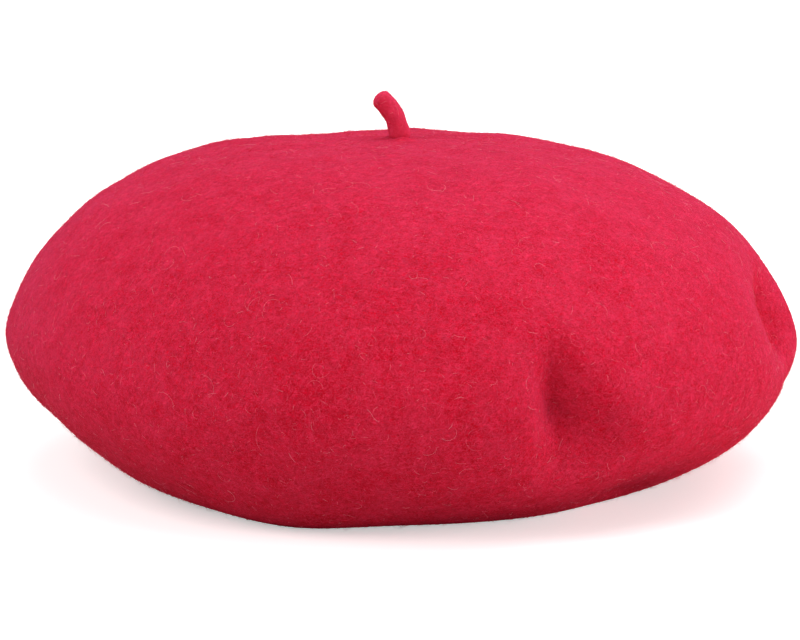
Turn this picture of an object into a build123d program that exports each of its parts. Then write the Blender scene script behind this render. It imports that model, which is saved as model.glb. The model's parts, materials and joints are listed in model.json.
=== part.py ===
"""Felted wool beret, standing puffed up as it is worn.

The frame's origin is the centre of the head opening on the plane the beret rests on. +Z runs up through
the stalk, -Y is the front and +Y the back, where the cord's bow sits. Lengths are in millimetres.

The beret is one seamless felt body with a short felt stalk. Inside are a leather sweatband, a cord that
runs round in the band's folded top edge, a satin lining in two pieces, and three sewn-in labels.
"""

import math
import os

from build123d import *

# Felt body. Its section is two curves that meet at the rim: the crown above and the underside below.
RIM_RADIUS = 141.0
RIM_HEIGHT = 48.0
APEX_HEIGHT = 117.0
FELT_THICKNESS = 2.6
HEM_RADIUS = 89.6  # the felt's cut edge round the head opening
HEM_ROUND = 1.2
FLAT_RADIUS = 94.5  # the underside lies flat from the hem out to here
CROWN_FLATNESS = (3.2, 1.57)  # exponents of the crown's superellipse, along r and along z
UNDER_FLATNESS = (1.25, 1.9)

# Sweatband, with its top edge folded outwards over the cord.
OPENING_RADIUS = 87.5
LEATHER_THICKNESS = 1.2
BAND_BOTTOM = 0.8
BAND_TOP = 21.0
FOLD_RADIUS = 2.6  # outside of the fold
FOLD_DEPTH = 4.4  # how far the folded edge hangs down
JOIN_GAP = 0.5
NOTCH_WIDTH = 12.0  # the fold is cut away here to let the cord out
NOTCH_EXTRA = 1.0  # how far the notch goes below the folded edge

# Cord and its bow
CORD_RADIUS = 1.0
STRAND_RADIUS = 0.85  # the cord is pulled thinner in the bow
EXIT_DROP = 1.7  # from the knot's underside down to the cord's ends
BOW_HEIGHT = 25.4
KNOT_RADIUS = 2.0
LOOP_LENGTH = 10.5
LOOP_HEIGHT = 3.0
TAIL_LENGTH = 12.0

# Lining
LINING_GAP = 1.5
LINING_THICKNESS = 0.5
TIP_RADIUS = 111.0  # the round top piece
LINING_INNER_RADIUS = 89.4
SEAM_GAP = 1.0  # between the tip and the side piece
SEAM_ALLOWANCE = 1.6  # from an edge of the lining in to its stitches
EDGE_ALLOWANCE = 1.5

# Stalk: a felt cord whose round root turns on a thread knot.
STALK_RADIUS = 3.6
ROOT_DEPTH = 1.3  # how far the root sits in the crown
ROOT_CLEARANCE = 0.1
STALK_LEAN = (-6.2, 10.2)  # the tip's centre from the root's centre, along X and Z
KNOT_RADIUS_IN_STALK = 2.0
KNOT_CLEARANCE = 0.15
LEAN_CONE_DEG = 50.0  # half angle of the room round the thread, for a lean of 30 degrees each way
TACK_PAD_RADIUS = 3.4
TACK_PAD_THICKNESS = 1.1

# Labels
LABEL_THICKNESS = 0.45
LABEL_HEIGHT = 7.6
LABEL_RADIUS = 91.9
LABEL_BOTTOM = 21.6
LABEL_ROOM = 0.55  # under a label, so that it can fold flat over the band
LABEL_ANGLE = 16.0  # from the back, one label on each side
SIZE_LABEL_WIDTH = 14.0
CARE_LABEL_WIDTH = 18.0
LABEL_CORNER = 1.0
TIP_LABEL_SIZE = (46.0, 28.0)
TIP_LABEL_CORNER = 2.0
TIP_LABEL_GAP = 0.35  # between the lining's tip and its label
TIP_LABEL_MARGIN = 1.5  # from the label's edge in to its stitches

# Thread
THREAD_RADIUS = 0.3
STITCH_LENGTH = 3.2
HEM_STITCHES = 96
LINING_STITCHES = 90
SEAM_STITCHES = 100
EDGE_STITCH_PITCH = 5.0
JOIN_ROWS = 4
JOIN_PITCH = 4.0
LOOP_RADIUS = 1.3
TAB_THREAD_LENGTH = 1.6

# Room left between neighbouring pieces
HAIR_GAP = 0.05
SMALL_GAP = 0.15

SPLINE_SPANS = 8
BACK = 90.0  # angle of the back, from +X

lining_outer = FELT_THICKNESS + LINING_GAP
lining_inner = lining_outer + LINING_THICKNESS
fold_centre_radius = OPENING_RADIUS + FOLD_RADIUS
fold_centre_height = BAND_TOP - FOLD_RADIUS
pivot_height = APEX_HEIGHT + STALK_RADIUS + ROOT_CLEARANCE - ROOT_DEPTH


def crown_point(angle, inset):
    """Point (r, z) on the crown, inset from the felt's outside. Angle 0 is the rim and 90 the apex."""
    along, up = CROWN_FLATNESS
    c = math.cos(math.radians(angle)) if angle < 90 else 0.0
    r = (RIM_RADIUS - inset) * c ** (2 / along)
    z = RIM_HEIGHT + (APEX_HEIGHT - RIM_HEIGHT - inset) * math.sin(math.radians(angle)) ** (2 / up)
    return r, z


def under_point(angle, inset):
    """Point (r, z) on the underside. Angle 0 is the rim and 90 the edge of the flat part."""
    along, down = UNDER_FLATNESS
    c = math.cos(math.radians(angle)) if angle < 90 else 0.0
    r = FLAT_RADIUS + (RIM_RADIUS - inset - FLAT_RADIUS) * c ** (2 / along)
    z = RIM_HEIGHT - (RIM_HEIGHT - inset) * math.sin(math.radians(angle)) ** (2 / down)
    return r, z


def crown_angle(radius, inset):
    """The crown angle at which the section has this radius."""
    return math.degrees(math.acos((radius / (RIM_RADIUS - inset)) ** (CROWN_FLATNESS[0] / 2)))


def spread(start, end):
    """Evenly spaced angles for one spline, both ends included."""
    return [start + (end - start) * i / SPLINE_SPANS for i in range(SPLINE_SPANS + 1)]


def crown_curve(inset, start=90.0, end=0.0):
    """Points along the crown from one angle to another."""
    return [crown_point(a, inset) for a in spread(start, end)]


def under_curve(inset, start=0.0, end=90.0):
    """Points along the underside from one angle to another."""
    return [under_point(a, inset) for a in spread(start, end)]


def on_circle(radius, angle, height):
    """A point at this radius and angle from +X."""
    return (radius * math.cos(math.radians(angle)), radius * math.sin(math.radians(angle)), height)


# ---- felt body: crown, rim and underside in one piece, with a seat for the stalk

with BuildPart() as felt_body:
    with BuildSketch(Plane.XZ):
        with BuildLine():
            Spline(*crown_curve(0), tangents=[(1, 0), (0, -1)])
            Spline(*under_curve(0), tangents=[(0, -1), (-1, 0)])
            Line((FLAT_RADIUS, 0), (HEM_RADIUS + HEM_ROUND, 0))
            RadiusArc((HEM_RADIUS + HEM_ROUND, 0), (HEM_RADIUS, HEM_ROUND), HEM_ROUND)
            Line((HEM_RADIUS, HEM_ROUND), (HEM_RADIUS, FELT_THICKNESS))
            Line((HEM_RADIUS, FELT_THICKNESS), (FLAT_RADIUS, FELT_THICKNESS))
            Spline(*under_curve(FELT_THICKNESS, 90, 0), tangents=[(1, 0), (0, 1)])
            Spline(*crown_curve(FELT_THICKNESS, 0, 90), tangents=[(0, 1), (-1, 0)])
            Line((0, APEX_HEIGHT - FELT_THICKNESS), (0, APEX_HEIGHT))
        make_face()
    revolve(axis=Axis.Z)
    with Locations((0, 0, pivot_height)):
        Sphere(STALK_RADIUS + ROOT_CLEARANCE, mode=Mode.SUBTRACT)
    with Locations((0, 0, APEX_HEIGHT)):
        Cylinder(2 * THREAD_RADIUS, 4 * FELT_THICKNESS, mode=Mode.SUBTRACT)
felt_body.part.label = "felt_body"


# ---- stalk and the thread that holds it

stalk_path = Edge.make_spline(
    [
        (0, 0, pivot_height),
        (0.42 * STALK_LEAN[0], 0, pivot_height + 0.62 * STALK_LEAN[1]),
        (STALK_LEAN[0], 0, pivot_height + STALK_LEAN[1]),
    ],
    tangents=[(0, 0, 1), (-1, 0, 0.75)],
)

with BuildPart() as stalk:
    with BuildSketch(Plane.XY.offset(pivot_height)):
        Circle(STALK_RADIUS)
    sweep(path=stalk_path)
    with Locations((0, 0, pivot_height), (STALK_LEAN[0], 0, pivot_height + STALK_LEAN[1])):
        Sphere(STALK_RADIUS)
    with Locations((0, 0, pivot_height)):
        Sphere(KNOT_RADIUS_IN_STALK + KNOT_CLEARANCE, mode=Mode.SUBTRACT)
    with BuildSketch(Plane.XZ):
        cone_depth = 2 * STALK_RADIUS
        with BuildLine():
            Polyline(
                (0, pivot_height),
                (0, pivot_height - cone_depth),
                (cone_depth * math.tan(math.radians(LEAN_CONE_DEG)), pivot_height - cone_depth),
                close=True,
            )
        make_face()
    revolve(axis=Axis.Z, mode=Mode.SUBTRACT)
stalk.part.label = "stalk"

# The knot inside the stalk's root is the ball that the stalk turns on
with BuildPart() as stalk_knot:
    with Locations((0, 0, pivot_height)):
        Sphere(KNOT_RADIUS_IN_STALK)
stalk_knot.part.label = "stalk_knot"

# Thread from that knot through the felt, with a flat whipped knot under the crown
tack_pad_top = APEX_HEIGHT - FELT_THICKNESS - SMALL_GAP
tack_pad_bottom = tack_pad_top - TACK_PAD_THICKNESS
tack_top = pivot_height - KNOT_RADIUS_IN_STALK - HAIR_GAP

with BuildPart() as stalk_tack:
    with BuildSketch(Plane.XY.offset(tack_pad_bottom)):
        Circle(THREAD_RADIUS)
    extrude(amount=tack_top - tack_pad_bottom)
    with BuildSketch(Plane.XY.offset(tack_pad_bottom)):
        Circle(TACK_PAD_RADIUS)
    extrude(amount=TACK_PAD_THICKNESS)
    round_edges = stalk_tack.edges().filter_by(GeomType.CIRCLE)
    pad_edges = round_edges.filter_by(lambda edge: edge.radius > TACK_PAD_RADIUS - HAIR_GAP)
    fillet(pad_edges, 0.45 * TACK_PAD_THICKNESS)
stalk_tack.part.label = "stalk_tack"


# ---- sweatband: a leather strip whose top edge is folded over the cord, open at the back join

with BuildPart() as sweatband:
    with BuildSketch(Plane.XZ):
        inner_fold = FOLD_RADIUS - LEATHER_THICKNESS
        leg_bottom = fold_centre_height - FOLD_DEPTH
        with BuildLine():
            Line((OPENING_RADIUS, BAND_BOTTOM), (OPENING_RADIUS, fold_centre_height))
            ThreePointArc(
                (OPENING_RADIUS, fold_centre_height),
                (fold_centre_radius, BAND_TOP),
                (OPENING_RADIUS + 2 * FOLD_RADIUS, fold_centre_height),
            )
            Polyline(
                (OPENING_RADIUS + 2 * FOLD_RADIUS, fold_centre_height),
                (OPENING_RADIUS + 2 * FOLD_RADIUS, leg_bottom),
                (fold_centre_radius + inner_fold, leg_bottom),
                (fold_centre_radius + inner_fold, fold_centre_height),
            )
            ThreePointArc(
                (fold_centre_radius + inner_fold, fold_centre_height),
                (fold_centre_radius, BAND_TOP - LEATHER_THICKNESS),
                (OPENING_RADIUS + LEATHER_THICKNESS, fold_centre_height),
            )
            Polyline(
                (OPENING_RADIUS + LEATHER_THICKNESS, fold_centre_height),
                (OPENING_RADIUS + LEATHER_THICKNESS, BAND_BOTTOM),
                (OPENING_RADIUS, BAND_BOTTOM),
            )
        make_face()
    revolve(axis=Axis.Z)
    with Locations((0, fold_centre_radius, BAND_TOP / 2)):
        Box(JOIN_GAP, 4 * FOLD_RADIUS, 2 * BAND_TOP, mode=Mode.SUBTRACT)
    with BuildSketch(Plane.XY.offset(leg_bottom - NOTCH_EXTRA)):
        with Locations((0, OPENING_RADIUS + LEATHER_THICKNESS + HAIR_GAP)):
            Rectangle(NOTCH_WIDTH, 6 * FOLD_RADIUS, align=(Align.CENTER, Align.MIN))
    extrude(amount=BAND_TOP, mode=Mode.SUBTRACT)
sweatband.part.label = "sweatband"

# Short threads across the two ends of the strip
with BuildPart() as band_join_stitches:
    for row in range(JOIN_ROWS):
        row_height = BAND_BOTTOM + JOIN_PITCH * (row + 0.5)
        with Locations(Location((0, OPENING_RADIUS + THREAD_RADIUS + HAIR_GAP, row_height), (0, 90, 0))):
            Cylinder(THREAD_RADIUS, STITCH_LENGTH)
band_join_stitches.part.label = "band_join_stitches"

# Thread loops that pass through the band's bottom edge and the felt's edge
loop_centre_radius = (OPENING_RADIUS + LEATHER_THICKNESS + HEM_RADIUS) / 2
loop_centre_height = LOOP_RADIUS + THREAD_RADIUS + SMALL_GAP

with BuildPart() as hem_stitches:
    with PolarLocations(loop_centre_radius, HEM_STITCHES, start_angle=180 / HEM_STITCHES):
        with Locations(Location((0, 0, loop_centre_height), (90, 0, 0))):
            Torus(LOOP_RADIUS, THREAD_RADIUS)
hem_stitches.part.label = "hem_stitches"


# ---- cord in the fold, and the bow tied in its ends

exit_angle = math.degrees(math.asin((NOTCH_WIDTH / 2 - CORD_RADIUS) / fold_centre_radius))
exit_height = BOW_HEIGHT - KNOT_RADIUS - EXIT_DROP
cord_start = on_circle(fold_centre_radius, BACK + exit_angle, fold_centre_height)
cord_end = on_circle(fold_centre_radius, BACK - exit_angle, fold_centre_height)
cord_front = on_circle(fold_centre_radius, BACK + 180, fold_centre_height)
cord_top_left = (-1.6 * CORD_RADIUS, fold_centre_radius, exit_height)
cord_top_right = (1.6 * CORD_RADIUS, fold_centre_radius, exit_height)
ring = Edge.make_three_point_arc(cord_start, cord_front, cord_end)
rise_left = Edge.make_spline([cord_start, cord_top_left], tangents=[ring.tangent_at(0) * -1, (0, 0, 1)])
rise_right = Edge.make_spline([cord_end, cord_top_right], tangents=[ring.tangent_at(1), (0, 0, 1)])

with BuildPart() as drawcord:
    for piece in (ring, rise_left, rise_right):
        with BuildSketch(Plane(origin=piece.position_at(0), z_dir=piece.tangent_at(0))):
            Circle(CORD_RADIUS)
        sweep(path=piece)
drawcord.part.label = "drawcord"

knot_centre = Vector(0, fold_centre_radius, BOW_HEIGHT)
bow_plane = Plane(origin=knot_centre, x_dir=(1, 0, 0), z_dir=(0, -1, 0))


def bow_curve(points, tangents):
    """A spline through points given in the bow's own plane, X to the right and Y up."""
    return Edge.make_spline(
        [bow_plane.from_local_coords((x, y, 0)) for x, y in points],
        tangents=[bow_plane.from_local_coords((x, y, 0)) - knot_centre for x, y in tangents],
    )


with BuildPart() as drawcord_bow:
    add(Sphere(KNOT_RADIUS, mode=Mode.PRIVATE).moved(Location(knot_centre)))
    for side in (-1, 1):
        loop = bow_curve(
            [
                (0, 0.4 * LOOP_HEIGHT),
                (0.6 * side * LOOP_LENGTH, 1.0 * LOOP_HEIGHT),
                (side * LOOP_LENGTH, 0.45 * LOOP_HEIGHT),
                (0.55 * side * LOOP_LENGTH, -0.15 * LOOP_HEIGHT),
                (0, 0),
            ],
            [(side, 0.5), (-side, 0.1)],
        )
        tail = bow_curve(
            [
                (0, -0.3 * LOOP_HEIGHT),
                (0.5 * side * TAIL_LENGTH, -0.75 * LOOP_HEIGHT),
                (side * TAIL_LENGTH, -0.85 * LOOP_HEIGHT),
            ],
            [(side, -0.6), (side, 0)],
        )
        for strand in (loop, tail):
            with BuildSketch(Plane(origin=strand.position_at(0), z_dir=strand.tangent_at(0))):
                Circle(STRAND_RADIUS)
            sweep(path=strand)
drawcord_bow.part.label = "drawcord_bow"


# ---- lining: a round tip under the crown, and a side piece from the tip down to the band

tip_outer_angle = crown_angle(TIP_RADIUS, lining_outer)
tip_inner_angle = crown_angle(TIP_RADIUS, lining_inner)
side_top_radius = TIP_RADIUS + SEAM_GAP
side_outer_angle = crown_angle(side_top_radius, lining_outer)
side_inner_angle = crown_angle(side_top_radius, lining_inner)

with BuildPart() as lining_tip:
    with BuildSketch(Plane.XZ):
        tip_out = crown_curve(lining_outer, 90, tip_outer_angle)
        tip_in = crown_curve(lining_inner, tip_inner_angle, 90)
        with BuildLine():
            Spline(*tip_out)
            Line(tip_out[-1], tip_in[0])
            Spline(*tip_in)
            Line(tip_in[-1], tip_out[0])
        make_face()
    revolve(axis=Axis.Z)
lining_tip.part.label = "lining_tip"

with BuildPart() as lining_side:
    with BuildSketch(Plane.XZ):
        side_out = crown_curve(lining_outer, side_outer_angle, 0)
        side_in = crown_curve(lining_inner, 0, side_inner_angle)
        with BuildLine():
            Spline(*side_out)
            Spline(*under_curve(lining_outer), tangents=[(0, -1), (-1, 0)])
            Line((FLAT_RADIUS, lining_outer), (LINING_INNER_RADIUS, lining_outer))
            Line((LINING_INNER_RADIUS, lining_outer), (LINING_INNER_RADIUS, lining_inner))
            Line((LINING_INNER_RADIUS, lining_inner), (FLAT_RADIUS, lining_inner))
            Spline(*under_curve(lining_inner, 90, 0), tangents=[(1, 0), (0, 1)])
            Spline(*side_in)
            Line(side_in[-1], side_out[0])
        make_face()
    revolve(axis=Axis.Z)
lining_side.part.label = "lining_side"

# Running stitches along the lining's inner edge, and along the edge of its tip
with BuildPart() as lining_stitches:
    with PolarLocations(FLAT_RADIUS - EDGE_ALLOWANCE, LINING_STITCHES):
        with Locations(Location((0, 0, lining_inner), (90, 0, 0))):
            Cylinder(THREAD_RADIUS, STITCH_LENGTH)
lining_stitches.part.label = "lining_stitches"

seam_radius = TIP_RADIUS - SEAM_ALLOWANCE
seam_height = crown_point(crown_angle(seam_radius, lining_inner), lining_inner)[1]

with BuildPart() as tip_seam_stitches:
    with PolarLocations(seam_radius, SEAM_STITCHES):
        with Locations(Location((0, 0, seam_height), (90, 0, 0))):
            Cylinder(THREAD_RADIUS, STITCH_LENGTH)
tip_seam_stitches.part.label = "tip_seam_stitches"


# ---- labels: two small tabs that stand on the band's top edge, and one sewn flat under the lining's tip


def tab(width, angle):
    """Builds a label tab standing on the band at this angle from +X, with rounded top corners."""
    plane = Plane(
        origin=on_circle(LABEL_RADIUS, angle, LABEL_BOTTOM),
        x_dir=on_circle(1, angle + 90, 0),
        z_dir=on_circle(1, angle, 0),
    )
    with BuildPart() as made:
        with BuildSketch(plane):
            with Locations((0, LABEL_HEIGHT / 2)):
                Rectangle(width, LABEL_HEIGHT)
        extrude(amount=LABEL_THICKNESS / 2, both=True)
        corners = made.edges().filter_by(Axis(origin=(0, 0, 0), direction=plane.z_dir))
        fillet(corners.group_by(Axis.Z)[-1], LABEL_CORNER)
    return made.part


def tab_threads(width, angle, count):
    """Builds short upright threads from the band's fold up to just under a tab."""
    with BuildPart() as made:
        for i in range(count):
            across = width * ((i + 0.5) / count - 0.5)
            turned = angle + math.degrees(across / LABEL_RADIUS)
            centre = on_circle(LABEL_RADIUS, turned, LABEL_BOTTOM - LABEL_ROOM - TAB_THREAD_LENGTH / 2)
            with Locations(centre):
                Cylinder(THREAD_RADIUS, TAB_THREAD_LENGTH)
    return made.part


size_label = tab(SIZE_LABEL_WIDTH, BACK + LABEL_ANGLE)
size_label.label = "size_label"
size_label_stitches = tab_threads(SIZE_LABEL_WIDTH, BACK + LABEL_ANGLE, 4)
size_label_stitches.label = "size_label_stitches"

care_label = tab(CARE_LABEL_WIDTH, BACK - LABEL_ANGLE)
care_label.label = "care_label"
care_label_stitches = tab_threads(CARE_LABEL_WIDTH, BACK - LABEL_ANGLE, 5)
care_label_stitches.label = "care_label_stitches"

tip_label_top = APEX_HEIGHT - lining_inner - TIP_LABEL_GAP

with BuildPart() as tip_label:
    with BuildSketch(Plane.XY.offset(tip_label_top)):
        RectangleRounded(*TIP_LABEL_SIZE, TIP_LABEL_CORNER)
    extrude(amount=-LABEL_THICKNESS)
tip_label.part.label = "tip_label"

with BuildPart() as tip_label_stitches:
    rows_x = round(TIP_LABEL_SIZE[0] / EDGE_STITCH_PITCH)
    rows_y = round(TIP_LABEL_SIZE[1] / EDGE_STITCH_PITCH)
    stitch_height = tip_label_top - LABEL_THICKNESS
    with Locations((0, 0, stitch_height)):
        with GridLocations(EDGE_STITCH_PITCH, TIP_LABEL_SIZE[1] - 2 * TIP_LABEL_MARGIN, rows_x - 1, 2):
            Cylinder(THREAD_RADIUS, STITCH_LENGTH, rotation=(0, 90, 0))
        with GridLocations(TIP_LABEL_SIZE[0] - 2 * TIP_LABEL_MARGIN, EDGE_STITCH_PITCH, 2, rows_y - 1):
            Cylinder(THREAD_RADIUS, STITCH_LENGTH, rotation=(90, 0, 0))
tip_label_stitches.part.label = "tip_label_stitches"


os.makedirs("parts", exist_ok=True)
export_step(felt_body.part, "parts/felt_body.step")
export_step(stalk.part, "parts/stalk.step")
export_step(stalk_knot.part, "parts/stalk_knot.step")
export_step(stalk_tack.part, "parts/stalk_tack.step")
export_step(sweatband.part, "parts/sweatband.step")
export_step(band_join_stitches.part, "parts/band_join_stitches.step")
export_step(hem_stitches.part, "parts/hem_stitches.step")
export_step(drawcord.part, "parts/drawcord.step")
export_step(drawcord_bow.part, "parts/drawcord_bow.step")
export_step(lining_tip.part, "parts/lining_tip.step")
export_step(lining_side.part, "parts/lining_side.step")
export_step(lining_stitches.part, "parts/lining_stitches.step")
export_step(tip_seam_stitches.part, "parts/tip_seam_stitches.step")
export_step(size_label, "parts/size_label.step")
export_step(size_label_stitches, "parts/size_label_stitches.step")
export_step(care_label, "parts/care_label.step")
export_step(care_label_stitches, "parts/care_label_stitches.step")
export_step(tip_label.part, "parts/tip_label.step")
export_step(tip_label_stitches.part, "parts/tip_label_stitches.step")
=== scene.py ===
"""A red felt beret with its stalk, lining, sweatband and labels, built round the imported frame.

Lengths are in metres. Azimuth is measured from the front (-Y) towards the right (+X).
"""

import json
import math

import bpy
import numpy as np
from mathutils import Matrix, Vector


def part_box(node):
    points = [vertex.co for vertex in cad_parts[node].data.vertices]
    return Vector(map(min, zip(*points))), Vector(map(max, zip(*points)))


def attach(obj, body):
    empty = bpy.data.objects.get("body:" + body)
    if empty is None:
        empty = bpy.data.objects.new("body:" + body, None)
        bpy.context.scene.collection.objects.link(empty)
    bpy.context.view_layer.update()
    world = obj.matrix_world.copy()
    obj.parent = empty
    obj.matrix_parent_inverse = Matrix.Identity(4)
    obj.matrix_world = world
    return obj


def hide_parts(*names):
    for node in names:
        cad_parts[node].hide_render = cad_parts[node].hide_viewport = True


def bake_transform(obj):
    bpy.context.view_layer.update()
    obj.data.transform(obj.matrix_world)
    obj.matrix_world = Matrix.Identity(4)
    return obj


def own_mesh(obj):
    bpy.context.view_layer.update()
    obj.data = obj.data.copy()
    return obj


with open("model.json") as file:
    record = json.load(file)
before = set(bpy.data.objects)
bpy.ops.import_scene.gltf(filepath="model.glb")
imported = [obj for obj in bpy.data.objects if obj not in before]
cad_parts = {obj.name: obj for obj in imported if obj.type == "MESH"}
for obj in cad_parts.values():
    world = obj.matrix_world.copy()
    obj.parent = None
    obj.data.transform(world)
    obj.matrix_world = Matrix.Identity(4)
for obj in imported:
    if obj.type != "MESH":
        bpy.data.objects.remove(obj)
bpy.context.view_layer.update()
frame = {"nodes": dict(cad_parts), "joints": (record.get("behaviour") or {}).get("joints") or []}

MM = 0.001
rng = np.random.default_rng(7)

# ---- sizes taken from the frame

_, felt_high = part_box("felt_body")
_, tip_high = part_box("lining_tip")
_, cord_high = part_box("drawcord")
_, tip_label_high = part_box("tip_label")
band_low, band_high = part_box("sweatband")
stalk_low, stalk_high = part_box("stalk")
joints = {j["name"]: j for j in frame["joints"]}

RIM_RADIUS = felt_high[0]
APEX = felt_high[2]
RIM_HEIGHT = 0.41 * APEX
FELT_THICKNESS = 2.6 * MM
BAND_TOP = band_high[2]
BAND_BOTTOM = band_low[2]

# Radii of the felt's lower edge, of the outside of the ring it stands on, and of the sweatband's inside.
HEM_RADIUS = 89.6 * MM
FLAT_RADIUS = 94.5 * MM
OPENING = 87.5 * MM


# ---- mesh helpers


def shown(name, data):
    """An object in the scene with this mesh, light or camera."""
    obj = bpy.data.objects.new(name, data)
    bpy.context.scene.collection.objects.link(obj)
    return obj


def new_object(name, points, faces, material):
    """Makes a mesh object from point and face lists."""
    mesh = bpy.data.meshes.new(name)
    mesh.from_pydata([tuple(p) for p in points], [], [tuple(f) for f in faces])
    mesh.validate()
    mesh.update()
    mesh.polygons.foreach_set("use_smooth", [True] * len(mesh.polygons))
    mesh.materials.append(material)
    return shown(name, mesh)


def grid_faces(rows, columns, wrap_rows=False, wrap_columns=True, start=0, flip=False):
    """Quads over a grid of points stored row by row. Flip turns them to face the other way."""
    r = np.arange(rows if wrap_rows else rows - 1)[:, None]
    c = np.arange(columns if wrap_columns else columns - 1)[None, :]
    below = (r + 1) % rows
    beside = (c + 1) % columns
    corners = [r * columns + c, below * columns + c, below * columns + beside, r * columns + beside]
    if flip:
        corners.reverse()
    return (np.stack(np.broadcast_arrays(*corners), axis=-1).reshape(-1, 4) + start).tolist()


def grid_normals(grid):
    """Unit normals of a (rows, columns, 3) grid whose columns close into a ring."""
    along = np.gradient(grid, axis=0)
    across = np.roll(grid, -1, axis=1) - np.roll(grid, 1, axis=1)
    normal = np.cross(along, across)
    return normal / np.maximum(np.linalg.norm(normal, axis=2, keepdims=True), 1e-12)


def crown_normals(grid):
    """Normals of a grid whose first row is the apex, where the normal is straight up."""
    normal = grid_normals(grid)
    normal[0] = (0, 0, 1)
    return normal


def points_at(r, azimuth, z):
    """Points at these radii, azimuths and heights."""
    return np.stack(np.broadcast_arrays(r * np.sin(azimuth), -r * np.cos(azimuth), z), axis=-1)


def soft(piece, node_name=None, body="headband", flattens=True):
    """Rides a piece on a body, lets it stand for a CAD node, and where flattens is set gives it a mesh of
    its own.
    """
    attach(piece, body)
    if node_name:
        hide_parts(node_name)
    if flattens:
        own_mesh(piece)


# ---- the felt's shape


def smooth_step(x):
    """0 below 0, 1 above 1, and smooth between."""
    x = np.clip(x, 0, 1)
    return x * x * (3 - 2 * x)


def bell(x, width):
    """1 at 0, falling away smoothly to both sides."""
    return np.exp(-((x / width) ** 2))


def wrapped(angle):
    """An angle brought to within half a turn of 0."""
    return (angle + math.pi) % (2 * math.pi) - math.pi


# Exponents of the section's two curves. 2 gives an ellipse, more a squarer curve, and less a sharper one.
CROWN_OUT, CROWN_UP = 3.2, 1.57
UNDER_OUT, UNDER_DOWN = 1.25, 1.9
SECTION_POINTS = 4000


def base_section():
    """The round section from the apex to the hem, as arrays of r and z, and the length along it."""
    a = np.linspace(math.pi / 2, 0, SECTION_POINTS)
    crown_r = RIM_RADIUS * np.cos(a) ** (2 / CROWN_OUT)
    crown_z = RIM_HEIGHT + (APEX - RIM_HEIGHT) * np.sin(a) ** (2 / CROWN_UP)
    crown_r[0] = 0
    b = np.linspace(0, math.pi / 2, SECTION_POINTS)[1:]
    under_r = FLAT_RADIUS + (RIM_RADIUS - FLAT_RADIUS) * np.clip(np.cos(b), 0, 1) ** (2 / UNDER_OUT)
    under_z = RIM_HEIGHT * (1 - np.sin(b) ** (2 / UNDER_DOWN))
    r = np.concatenate([crown_r, under_r, [HEM_RADIUS + 1.2 * MM]])
    z = np.concatenate([crown_z, under_z, [0]])
    length = np.concatenate([[0], np.cumsum(np.hypot(np.diff(r), np.diff(z)))])
    return r, z, length


section_r, section_z, section_length = base_section()
RIM_LENGTH = section_length[SECTION_POINTS - 1]
SECTION_END = section_length[-1]


def section_at(lengths):
    """Radius and height of the section at these lengths along it."""
    return np.interp(lengths, section_length, section_r), np.interp(lengths, section_length, section_z)


def across_rim(azimuth, centre_deg):
    """Distance round the rim from an azimuth given in degrees, in metres."""
    return wrapped(azimuth - math.radians(centre_deg)) * RIM_RADIUS


def pinch(azimuth, length, centre_deg, depth, left, right, up, down, lean=0, at=0, flare=0, shoulder=0.12):
    """A crease pinched in across the rim, with raised shoulders. Its sizes are in millimetres.

    Left and right are the widths of its sides, up and down its reach, and at its middle's distance below
    the rim. Flare widens the right side downwards.
    """
    v = length - (RIM_LENGTH + at * MM)
    u = across_rim(azimuth, centre_deg) - lean * v
    reach = np.exp(-np.abs(v / np.where(v < 0, up * MM, down * MM)) ** 2.4)
    side = np.where(u < 0, left * MM, right * MM * np.exp(np.clip(flare * v, -1.2, 0.6)))
    valley = np.exp(-np.abs(u / side) ** 1.7)
    raised = bell(np.abs(u) / side - 2.0, 0.8)
    return depth * MM * reach * (-valley + shoulder * raised)


def lobe(azimuth, length, centre_deg, amount, width, up, down, at):
    """A broad soft bulge, or a hollow, below the rim by at. Its sizes are in millimetres."""
    v = length - (RIM_LENGTH + at * MM)
    reach = np.where(v < 0, bell(v, up * MM), bell(v, down * MM))
    return amount * MM * reach * bell(across_rim(azimuth, centre_deg), width * MM)


def felt_offset(azimuth, length):
    """How far the felt stands out of its round section, along the normal."""
    here = (azimuth, length)
    d = np.zeros(np.broadcast(azimuth, length).shape)
    # a sharp dent at the front, and a deep one at the right end
    d += pinch(*here, 22.3, 15, left=8.5, right=12, up=20, down=20, lean=0.13, at=3, flare=30, shoulder=0.02)
    d += pinch(*here, 79, 13, left=26, right=10, up=16, down=17, at=-13)
    # softer ones round the back
    d += pinch(*here, 152, 5.0, left=12, right=9, up=26, down=24, lean=-0.2, at=6)
    d += pinch(*here, 236, 4.0, left=10, right=16, up=24, down=22, lean=0.15, at=9)
    # fuller and hollower stretches
    d += lobe(*here, -20, 3.8, width=42, up=22, down=22, at=54)
    d += lobe(*here, 44, -3.4, width=24, up=22, down=22, at=58)
    d += lobe(*here, 64, 1.8, width=26, up=22, down=20, at=26)
    d += lobe(*here, 91, 2.6, width=16, up=14, down=16, at=10)
    d += lobe(*here, -70, -3.4, width=40, up=26, down=30, at=38)
    d += lobe(*here, -92, -1.2, width=36, up=30, down=20, at=-18)
    d += lobe(*here, 98, -1.2, width=40, up=40, down=26, at=-80)
    d += lobe(*here, 210, -1.5, width=60, up=40, down=40, at=-112)
    # the slow unevenness of a hand-blocked crown
    crown = smooth_step(length / (60 * MM)) * smooth_step((SECTION_END - length) / (50 * MM))
    for height, waves, shift, slant in ((0.35, 5, 1.1, 9), (0.25, 9, 4.0, -14), (0.18, 17, 2.0, 31)):
        d += crown * height * MM * np.sin(waves * azimuth + shift + slant * length / RIM_LENGTH)
    # nothing moves at the hem, and the apex keeps its height
    return d * smooth_step((SECTION_END - length) / (14 * MM)) * smooth_step(length / (30 * MM))


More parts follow.
